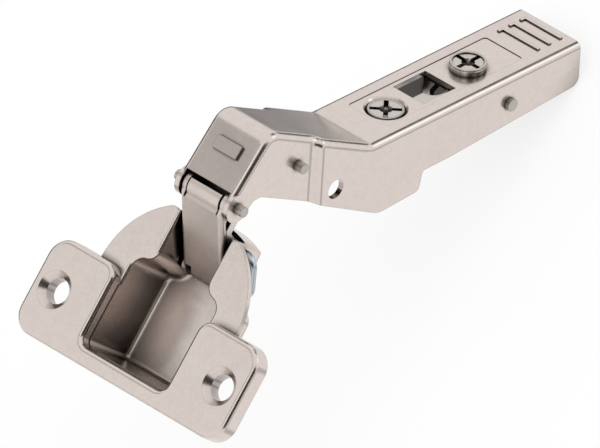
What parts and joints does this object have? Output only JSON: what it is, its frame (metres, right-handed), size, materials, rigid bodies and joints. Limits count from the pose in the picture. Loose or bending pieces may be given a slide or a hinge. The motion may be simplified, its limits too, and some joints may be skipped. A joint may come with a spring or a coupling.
{
  "type": "concealed cup hinge",
  "caption": "Concealed cabinet hinge with a screw-on cup, two links and an angled folded arm with adjusting screws, shown fully open.",
  "frame": {"origin": "centre of the 35 mm cup on the door's inner face, which the rim of the cup's raised screw plate rests on", "axes": "+X runs from the cup towards the door's edge and the arm, +Z out of the door's face, and Y is the hinge axis direction; the part is shown fully open"},
  "size_m": [0.0986, 0.0564, 0.0812],
  "materials": {
    "nickel_plated_steel": "satin nickel plate on pressed sheet steel",
    "zinc_plated_steel": "bluish zinc plate",
    "pin_steel": "turned steel with staked ends",
    "spring_steel": "plain spring wire"
  },
  "bodies": {
    "cup": {"cup_shell": "nickel_plated_steel", "cup_axle": "zinc_plated_steel"},
    "outer_link_body": {"outer_link": "nickel_plated_steel"},
    "inner_link_body": {"inner_link": "nickel_plated_steel"},
    "arm": {"hinge_arm": "nickel_plated_steel", "outer_link_pin": "pin_steel", "inner_link_pin": "pin_steel", "closing_spring": "spring_steel", "lever_pin": "pin_steel", "lever_spring": "spring_steel"},
    "insert": {"clip_insert": "zinc_plated_steel"},
    "side_screw": {"side_adjusting_screw": "nickel_plated_steel"},
    "depth_screw": {"depth_adjusting_screw": "nickel_plated_steel"},
    "lever": {"release_lever": "zinc_plated_steel"}
  },
  "joints": [
    {"name": "outer_link_turn", "type": "hinge", "parent": "cup", "child": "outer_link_body", "pos_m": [0.0075, 0, -0.0078], "axis": [0, -1, 0], "range_deg": [0, 126]},
    {"name": "inner_link_turn", "type": "hinge", "parent": "cup", "child": "inner_link_body", "pos_m": [0.0143, 0, -0.003], "axis": [0, -1, 0], "range_deg": [0, 149.75]},
    {"name": "arm_turn", "type": "hinge", "parent": "outer_link_body", "child": "arm", "pos_m": [0.0218, 0, 0.0046], "axis": [0, -1, 0], "range_deg": [-30.92, 0]},
    {"name": "side_screw_turn", "type": "hinge", "parent": "arm", "child": "side_screw", "pos_m": [0.05093, -0.00045, -0.03256], "axis": [0.7909, 0, 0.6119], "range_deg": [-360, 360]},
    {"name": "depth_screw_turn", "type": "hinge", "parent": "arm", "child": "depth_screw", "pos_m": [0.06476, -0.00045, -0.05043], "axis": [0.7909, 0, 0.6119], "range_deg": [-144, 216]},
    {"name": "insert_slide", "type": "slide", "parent": "arm", "child": "insert", "axis": [0.6119, 0, -0.7909], "range_m": [-0.002, 0.003]},
    {"name": "lever_turn", "type": "hinge", "parent": "arm", "child": "lever", "pos_m": [0.0623, 0, -0.05689], "axis": [0, -1, 0], "range_deg": [0, 10], "stiffness_Nm_per_rad": 0.05, "springref_deg": -5.73}
  ],
  "couplings": [
    {"joint": "arm_turn", "follows": "outer_link_turn", "ratio": -0.24536},
    {"joint": "inner_link_turn", "follows": "outer_link_turn", "ratio": 1.1885},
    {"joint": "depth_screw_turn", "follows": "insert_slide", "rad_per_m": 1256.6}
  ]
}
